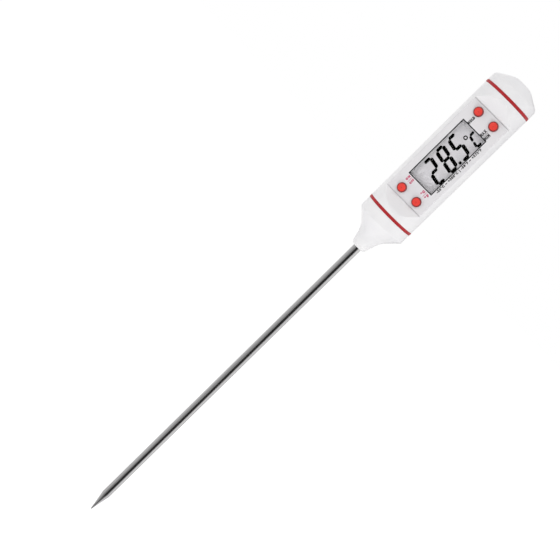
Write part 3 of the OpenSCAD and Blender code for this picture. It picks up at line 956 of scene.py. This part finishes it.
@dataclass
class Battery(SubAssembly):
    """The carrier in the body, the cell and its contacts."""

    def dress(self) -> None:
        """Give the battery's nodes their finishes."""
        dress_nodes({
            Finishes.ETCHED_ABS: ("carrier",),
            Finishes.ROLLED_NICKEL: ("cell_spring", "cell_strip"),
            Finishes.DRAWN_CAN: ("button_cell",),
        })


@dataclass(frozen=True)
class SoftBox:
    """A square soft light.

    Attributes:
        name: Its name.
        place: Where it stands.
        size: Length of its side.
        watts: Its power.
    """

    name: str
    place: tuple[float, float, float]
    size: float
    watts: float


@dataclass(frozen=True)
class Card:
    """A curved card round the object that only polished surfaces mirror.

    Attributes:
        name: Its name.
        azimuths: Where it starts and ends round the axis, in degrees from the front towards +X.
        level: Its brightness, 1 for white.
    """

    name: str
    azimuths: tuple[float, float]
    level: float


@dataclass
class Studio:
    """Camera, soft light, white floor and the cards that shape reflections in the steel.

    Attributes:
        eye: Place of the camera.
        right: The picture's right, in the shared frame.
        back: From the object to the camera, in the shared frame.
        lens: Focal length.
        sensor: Width of the camera's sensor.
        clip: Nearest and farthest distance that the camera shows.
        floor_size: Length of the floor's side.
        floor_colour: Colour of the floor's paper.
        ambient: Level of the light from all round.
        glow: The part of the floor's white that no shadow takes away.
        card_radius: Distance of the cards from the axis.
        card_heights: Foot and top of the cards.
        card_steps: Flat strips that make up the curve of a card.
        lamps: The soft lights.
        cards: The cards.
    """

    eye: tuple[float, float, float] = (34.422, -468.738, 52.450)
    right: tuple[float, float, float] = (0.687624, 0.195947, 0.699127)
    back: tuple[float, float, float] = (0.098456, -0.979166, 0.177599)
    lens: float = 74.692
    sensor: float = 36.0
    clip: tuple[float, float] = (10.0, 20000.0)
    floor_size: float = 6000.0
    floor_colour: str = "#EEEEEE"
    ambient: float = 0.68
    glow: float = 0.45
    card_radius: float = 520.0
    card_heights: tuple[float, float] = (-800.0, 330.0)
    card_steps: int = 24
    lamps: tuple[SoftBox, ...] = (
        SoftBox("front_light", (0.0, -700.0, 50.0), 300.0, 0.24),
        SoftBox("top_light", (60.0, -350.0, 600.0), 400.0, 0.90),
        SoftBox("low_left_light", (-200.0, -120.0, -140.0), 160.0, 0.25),
        SoftBox("low_right_light", (200.0, -120.0, -140.0), 160.0, 0.335),
    )
    cards: tuple[Card, ...] = (
        Card("rear_card", (-196.0, -171.0), 0.12),
        Card("far_left_card", (-171.0, -115.0), 1.1),
        Card("left_card", (-115.0, -80.0), 0.8),
        Card("pale_grey_card", (-80.0, -52.0), 0.68),
        Card("grey_card", (-52.0, -28.0), 0.5),
        Card("dim_card", (-28.0, -10.0), 0.4),
        Card("black_card", (-10.0, 46.0), 0.03),
        Card("half_card", (46.0, 56.0), 0.3),
        Card("white_card", (56.0, 125.0), 1.05),
        Card("right_card", (125.0, 164.0), 0.8),
    )

    def build(self) -> None:
        """Set up the camera, the lights, the floor and the cards."""
        self.add_camera()
        self.light_world()
        self.lay_floor()
        for lamp in self.lamps:
            self.hang(lamp)
        for card in self.cards:
            self.stand(card)

    def add_camera(self) -> None:
        """Place the camera at the photograph's angle."""
        data = bpy.data.cameras.new("camera")
        data.lens = self.lens
        data.sensor_width = self.sensor
        data.clip_start, data.clip_end = [distance * MM for distance in self.clip]
        camera = add_object("camera", data)
        back = Vector(self.back).normalized()
        right = Vector(self.right).normalized()
        up = back.cross(right)
        turn = Matrix((right, up, back)).transposed()
        camera.matrix_world = Matrix.Translation(Vector(self.eye) * MM) @ turn.to_4x4()
        bpy.context.scene.camera = camera

    @staticmethod
    def seen(tree: bpy.types.NodeTree) -> bpy.types.NodeSocket:
        """Tell rays that show the background from rays that light the object.

        Args:
            tree: The node tree that needs to know.

        Returns:
            A socket that is 1 for camera, glossy and transmission rays.
        """
        path = add_node(tree, "ShaderNodeLightPath")
        mirrored = add_node(
            tree, "ShaderNodeMath", {"operation": "MAXIMUM"},
            {0: path.outputs["Is Camera Ray"], 1: path.outputs["Is Glossy Ray"]},
        )
        shown = add_node(
            tree, "ShaderNodeMath", {"operation": "MAXIMUM"},
            {0: mirrored.outputs["Value"], 1: path.outputs["Is Transmission Ray"]},
        )
        return shown.outputs["Value"]

    def light_world(self) -> None:
        """Make the world white to look at and a plain soft light for the object."""
        scene = bpy.context.scene
        scene.view_settings.view_transform = "Standard"
        scene.world = bpy.data.worlds.new("studio")
        scene.world.use_nodes = True
        tree = scene.world.node_tree
        tree.nodes.clear()
        white = linear("#FFFFFF")
        soft = add_node(tree, "ShaderNodeBackground", {"Color": white, "Strength": self.ambient})
        plain = add_node(tree, "ShaderNodeBackground", {"Color": white, "Strength": 1.0})
        mix = add_node(
            tree, "ShaderNodeMixShader",
            links={0: self.seen(tree), 1: soft.outputs["Background"], 2: plain.outputs["Background"]},
        )
        add_node(tree, "ShaderNodeOutputWorld", links={"Surface": mix.outputs["Shader"]})

    def lay_floor(self) -> None:
        """Lay a white floor under the stem's point, which keeps the object's shadow."""
        level = CAD_BOX[0].z
        half = self.floor_size * MM / 2
        work = bmesh.new()
        corners = [(-half, -half), (half, -half), (half, half), (-half, half)]
        work.faces.new([work.verts.new((x, y, level)) for x, y in corners])
        floor = add_object("floor", finished("floor", work))
        floor.visible_glossy = False
        paper = blank_material("white seamless paper")
        tree = paper.node_tree
        matt = add_node(tree, "ShaderNodeBsdfDiffuse", {"Color": linear(self.floor_colour)})
        glow = add_node(tree, "ShaderNodeEmission", {"Strength": self.glow})
        lit = add_node(
            tree, "ShaderNodeAddShader",
            links={0: matt.outputs["BSDF"], 1: glow.outputs["Emission"]},
        )
        mix = add_node(
            tree, "ShaderNodeMixShader",
            links={0: self.seen(tree), 1: matt.outputs["BSDF"], 2: lit.outputs["Shader"]},
        )
        add_node(tree, "ShaderNodeOutputMaterial", links={"Surface": mix.outputs["Shader"]})
        floor.data.materials.append(paper)

    def hang(self, lamp: SoftBox) -> None:
        """Hang a soft light that faces the handle.

        Args:
            lamp: The light.
        """
        data = bpy.data.lights.new(lamp.name, "AREA")
        data.shape = "SQUARE"
        data.size = lamp.size * MM
        data.energy = lamp.watts
        light = add_object(lamp.name, data)
        place = Vector(lamp.place) * MM
        low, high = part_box("body_tube")
        aim = (low + high) / 2 - place
        light.matrix_world = Matrix.Translation(place) @ aim.to_track_quat("-Z", "Y").to_matrix().to_4x4()
        light.visible_camera = False
        light.visible_glossy = False

    def stand(self, card: Card) -> None:
        """Stand a curved card round the object.

        Args:
            card: The card.
        """
        steps = self.card_steps
        radius = self.card_radius * MM
        start, end = [math.radians(a) for a in card.azimuths]
        turns = [start + (end - start) * i / steps for i in range(steps + 1)]
        work = bmesh.new()
        foot, top = [
            [work.verts.new((radius * math.sin(t), -radius * math.cos(t), height * MM)) for t in turns]
            for height in self.card_heights
        ]
        for i in range(steps):
            work.faces.new((foot[i], foot[i + 1], top[i + 1], top[i]))
        made = add_object(card.name, finished(card.name, work))
        paint = blank_material(card.name)
        tree = paint.node_tree
        glow = add_node(tree, "ShaderNodeEmission", {"Strength": card.level})
        add_node(tree, "ShaderNodeOutputMaterial", links={"Surface": glow.outputs["Emission"]})
        made.data.materials.append(paint)
        made.visible_camera = False
        made.visible_diffuse = False
        made.visible_transmission = False
        made.visible_shadow = False
        made.visible_volume_scatter = False


def main() -> None:
    """Build the studio and every sub-assembly."""
    logging.basicConfig(level=logging.INFO, format="%(name)s: %(message)s")
    Studio().build()
    for part in (Stem(), Handle(), FrontPanel(), Display(), Keys(), Electronics(), Battery()):
        part.build()
        part.dress()


if __name__ == "__main__":
    main()
